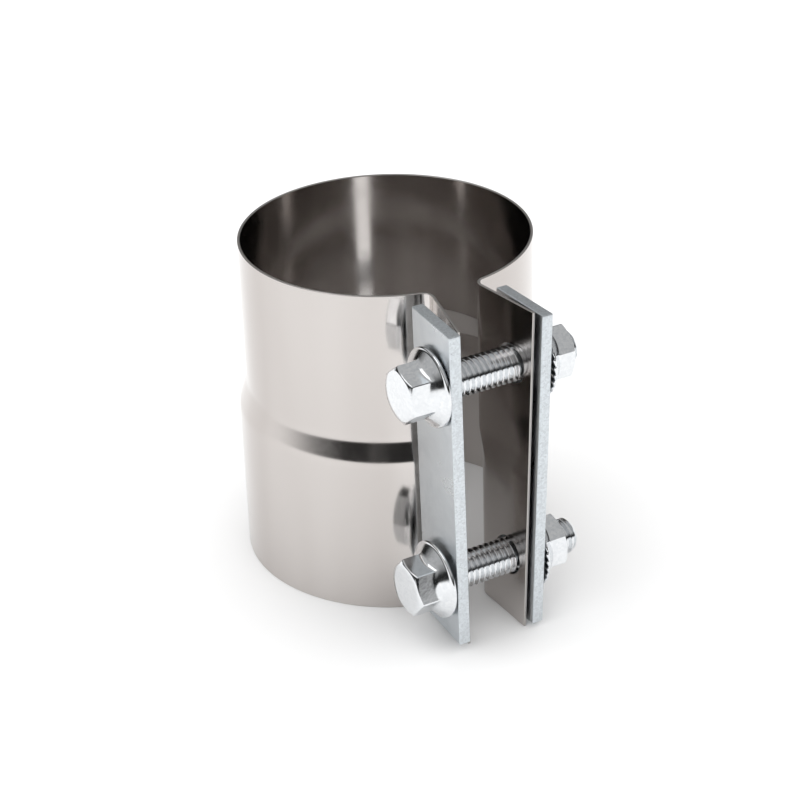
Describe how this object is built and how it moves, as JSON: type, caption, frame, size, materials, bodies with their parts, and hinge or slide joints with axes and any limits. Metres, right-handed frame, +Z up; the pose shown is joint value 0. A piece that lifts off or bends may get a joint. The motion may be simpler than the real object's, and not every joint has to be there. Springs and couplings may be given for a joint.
{
  "type": "stepped lap-joint band clamp",
  "caption": "Wide stainless band clamp with a stepped bore for two overlapping pipes; outward flanges are drawn together by cross bolts through flat reaction bars.",
  "frame": {"origin": "centre of the larger lower pipe bore, in the plane of the bottom rim", "axes": "+Z up along both pipe bores, towards the smaller section; -Y towards the bolted flanges; +X along the bolts towards the nuts"},
  "size_m": [0.0822, 0.1059, 0.0913],
  "materials": {
    "band_steel": "polished stainless sheet with a fine drawn grain",
    "bar_zinc": "satin bright zinc plate over cold-drawn flat bar, sawn ends",
    "fastener_zinc": "bright zinc plate"
  },
  "bodies": {
    "left_half": {"band_left": "band_steel", "bar_left": "bar_zinc"},
    "right_half": {"band_right": "band_steel", "bar_right": "bar_zinc"},
    "upper_bolt": {"bolt_upper": "fastener_zinc"},
    "lower_bolt": {"bolt_lower": "fastener_zinc"},
    "upper_nut": {"nut_upper": "fastener_zinc"},
    "lower_nut": {"nut_lower": "fastener_zinc"}
  },
  "joints": [
    {"name": "bolt_upper_turn", "type": "hinge", "parent": "left_half", "child": "upper_bolt", "pos_m": [0, -0.0534, 0.074], "axis": [0.9986, 0.0523, 0], "range_deg": [0, 2160]},
    {"name": "bolt_lower_turn", "type": "hinge", "parent": "left_half", "child": "lower_bolt", "pos_m": [0, -0.0534, 0.018], "axis": [0.9986, 0.0523, 0], "range_deg": [0, 2160]},
    {"name": "nut_upper_travel", "type": "slide", "parent": "left_half", "child": "upper_nut", "axis": [-0.9986, -0.0523, 0], "range_m": [0, 0.00954]},
    {"name": "nut_lower_travel", "type": "slide", "parent": "left_half", "child": "lower_nut", "axis": [-0.9986, -0.0523, 0], "range_m": [0, 0.00954]},
    {"name": "clamp_close", "type": "hinge", "parent": "left_half", "child": "right_half", "pos_m": [0, 0.0381, 0], "axis": [0, 0, -1], "range_deg": [0, 5.95]}
  ],
  "couplings": [
    {"joint": "bolt_lower_turn", "follows": "bolt_upper_turn", "ratio": 1},
    {"joint": "nut_upper_travel", "follows": "bolt_upper_turn", "m_per_rad": 0.00025266},
    {"joint": "nut_lower_travel", "follows": "bolt_upper_turn", "m_per_rad": 0.00025266},
    {"joint": "clamp_close", "follows": "bolt_upper_turn", "ratio": 0.00275}
  ]
}
